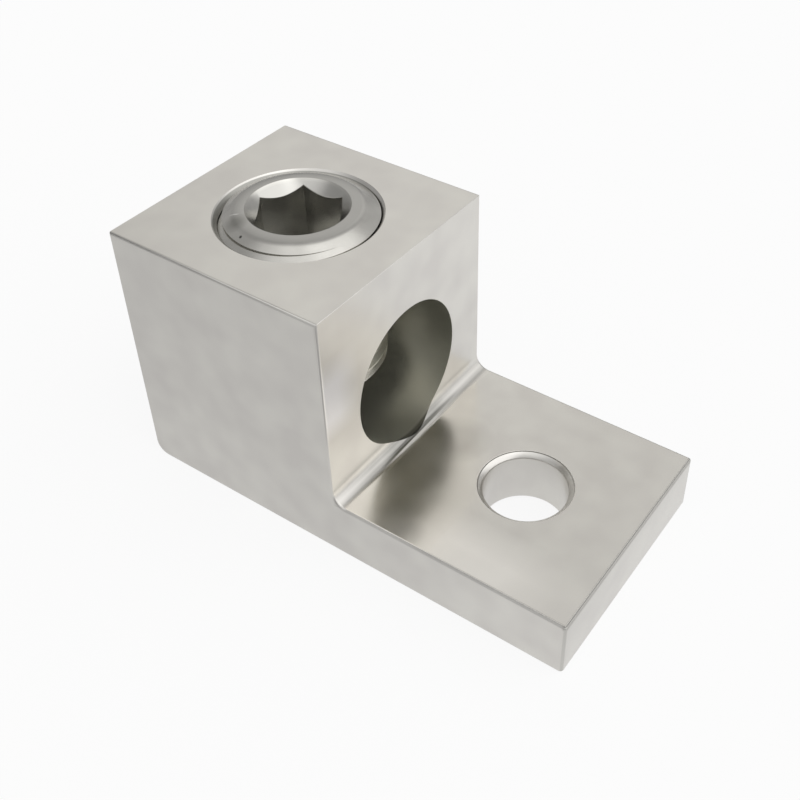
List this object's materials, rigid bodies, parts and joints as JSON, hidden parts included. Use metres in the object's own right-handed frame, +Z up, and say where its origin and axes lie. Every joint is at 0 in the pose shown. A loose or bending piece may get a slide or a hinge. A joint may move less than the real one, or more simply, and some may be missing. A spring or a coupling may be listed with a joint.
{
  "type": "mechanical lug",
  "caption": "Set-screw lug of tin-plated aluminium that clamps a stranded conductor in its block and bolts down through its tongue.",
  "frame": {"origin": "on the axis of the stud hole, level with the underside that seats on the pad", "axes": "+X towards the free end of the tongue, +Z up out of the underside, the way the set screw backs out"},
  "size_m": [0.0511, 0.0254, 0.0294],
  "materials": {
    "tinned_body": "satin tin plating over tumbled extruded aluminium",
    "tinned_screw": "bright tin plating over turned aluminium"
  },
  "bodies": {
    "lug": {"lug_body": "tinned_body"},
    "screw": {"set_screw": "tinned_screw"}
  },
  "joints": [
    {"name": "screw_advance", "type": "slide", "parent": "lug", "child": "screw", "axis": [0, 0, 1], "range_m": [-0.00141, 0.01129]}
  ]
}
